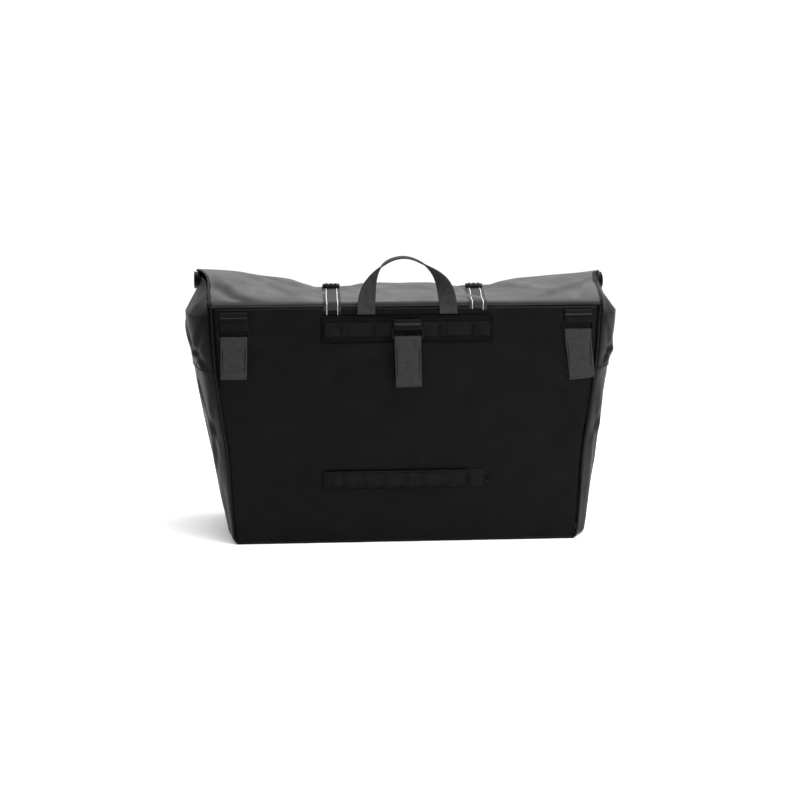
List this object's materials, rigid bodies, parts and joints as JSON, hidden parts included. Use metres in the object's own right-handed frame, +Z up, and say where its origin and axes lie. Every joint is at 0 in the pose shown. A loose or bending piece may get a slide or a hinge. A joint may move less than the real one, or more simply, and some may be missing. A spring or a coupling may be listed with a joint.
{
  "type": "pannier bag",
  "caption": "Roll-top pannier bag of black coated fabric with webbing handle, closure straps, accessory loops and rack straps.",
  "frame": {"origin": "middle of the bag's box, on the surface that it stands on", "axes": "+X along the bag's width, to the right when the rack side is faced; +Y away from the rack side, towards the front; +Z up"},
  "size_m": [0.6254, 0.2252, 0.4065],
  "materials": {
    "coated_fabric": "woven polyester with a satin waterproof coating",
    "collar_fabric": "softer coated fabric with a satin sheen",
    "seam_edge": "turned and stitched fabric edge",
    "webbing": "woven nylon webbing, matt",
    "hook_and_loop": "hook-and-loop tape, very matt",
    "ring_wire": "black coated wire, satin",
    "buckle_plastic": "black moulded acetal, satin",
    "board_plastic": "dark polyethylene sheet, matt",
    "lining": "plain grey lining fabric, matt"
  },
  "bodies": {
    "bag_body": {"back_panel": "coated_fabric", "front_panel": "coated_fabric", "back_edge_seam": "seam_edge", "front_edge_seam": "seam_edge", "top_seam": "seam_edge", "gusset_left_lower": "coated_fabric", "gusset_left_upper": "collar_fabric", "gusset_right_lower": "coated_fabric", "gusset_right_upper": "collar_fabric", "base_panel": "coated_fabric", "base_board": "board_plastic", "back_board": "board_plastic", "board_sleeve": "lining", "front_patch_left": "collar_fabric", "front_patch_right": "collar_fabric", "front_strap_left": "webbing", "front_strap_right": "webbing", "closure_strap_end_left": "webbing", "closure_strap_end_right": "webbing", "handle_end_left": "webbing", "handle_end_right": "webbing", "hardware_patch": "webbing", "accessory_loop_webbing": "webbing", "rack_anchor_left": "webbing", "rack_anchor_centre": "webbing", "rack_anchor_right": "webbing", "lower_strap_base": "webbing", "lower_strap_loop_patch": "hook_and_loop"},
    "roll_top": {"collar_back": "collar_fabric", "collar_front": "collar_fabric", "collar_left_end": "collar_fabric", "collar_right_end": "collar_fabric", "roll_bundle": "collar_fabric", "roll_batten": "board_plastic", "closure_strap_left": "webbing", "closure_strap_right": "webbing", "buckle_female_left": "buckle_plastic", "buckle_female_right": "buckle_plastic"},
    "strap_keeper_left": {"strap_keeper_left": "buckle_plastic"},
    "strap_keeper_right": {"strap_keeper_right": "buckle_plastic"},
    "buckle_male_left": {"buckle_male_left": "buckle_plastic"},
    "buckle_male_right": {"buckle_male_right": "buckle_plastic"},
    "carry_handle": {"carry_handle": "webbing"},
    "lower_strap_tail": {"lower_strap_tail": "webbing", "lower_strap_hook_patch": "hook_and_loop"},
    "rack_ring_left": {"rack_ring_left": "ring_wire"},
    "rack_tab_left": {"rack_tab_left": "webbing", "rack_tab_hook_left": "hook_and_loop"},
    "rack_ring_centre": {"rack_ring_centre": "ring_wire"},
    "rack_tab_centre": {"rack_tab_centre": "webbing", "rack_tab_hook_centre": "hook_and_loop"},
    "rack_ring_right": {"rack_ring_right": "ring_wire"},
    "rack_tab_right": {"rack_tab_right": "webbing", "rack_tab_hook_right": "hook_and_loop"}
  },
  "joints": [
    {"name": "roll_top_open", "type": "hinge", "parent": "bag_body", "child": "roll_top", "pos_m": [0, -0.0978, 0.336], "axis": [1, 0, 0], "range_deg": [0, 36]},
    {"name": "handle_fold", "type": "hinge", "parent": "bag_body", "child": "carry_handle", "pos_m": [0, -0.105, 0.3255], "axis": [1, 0, 0], "range_deg": [0, 125]},
    {"name": "lower_tail_peel", "type": "hinge", "parent": "bag_body", "child": "lower_strap_tail", "pos_m": [-0.118, -0.103, 0.092], "axis": [0, 0, -1], "range_deg": [0, 150]},
    {"name": "buckle_left_release", "type": "slide", "parent": "bag_body", "child": "buckle_male_left", "axis": [0, 0, -1], "range_m": [0, 0.03]},
    {"name": "strap_keeper_left_slide", "type": "slide", "parent": "roll_top", "child": "strap_keeper_left", "axis": [0, 1, 0], "range_m": [-0.005, 0.005]},
    {"name": "buckle_right_release", "type": "slide", "parent": "bag_body", "child": "buckle_male_right", "axis": [0, 0, -1], "range_m": [0, 0.03]},
    {"name": "strap_keeper_right_slide", "type": "slide", "parent": "roll_top", "child": "strap_keeper_right", "axis": [0, 1, 0], "range_m": [-0.005, 0.005]},
    {"name": "rack_ring_left_swing", "type": "hinge", "parent": "bag_body", "child": "rack_ring_left", "pos_m": [-0.241, -0.103, 0.308], "axis": [-1, 0, 0], "range_deg": [0, 60]},
    {"name": "rack_tab_left_swing", "type": "hinge", "parent": "rack_ring_left", "child": "rack_tab_left", "pos_m": [-0.241, -0.10372, 0.2935], "axis": [-1, 0, 0], "range_deg": [0, 110]},
    {"name": "rack_ring_centre_swing", "type": "hinge", "parent": "bag_body", "child": "rack_ring_centre", "pos_m": [0, -0.11, 0.308], "axis": [-1, 0, 0], "range_deg": [0, 60]},
    {"name": "rack_tab_centre_swing", "type": "hinge", "parent": "rack_ring_centre", "child": "rack_tab_centre", "pos_m": [0, -0.11073, 0.2935], "axis": [-1, 0, 0], "range_deg": [0, 110]},
    {"name": "rack_ring_right_swing", "type": "hinge", "parent": "bag_body", "child": "rack_ring_right", "pos_m": [0.24, -0.103, 0.315], "axis": [-1, 0, 0], "range_deg": [0, 60]},
    {"name": "rack_tab_right_swing", "type": "hinge", "parent": "rack_ring_right", "child": "rack_tab_right", "pos_m": [0.24, -0.10372, 0.3005], "axis": [-1, 0, 0], "range_deg": [0, 110]}
  ]
}
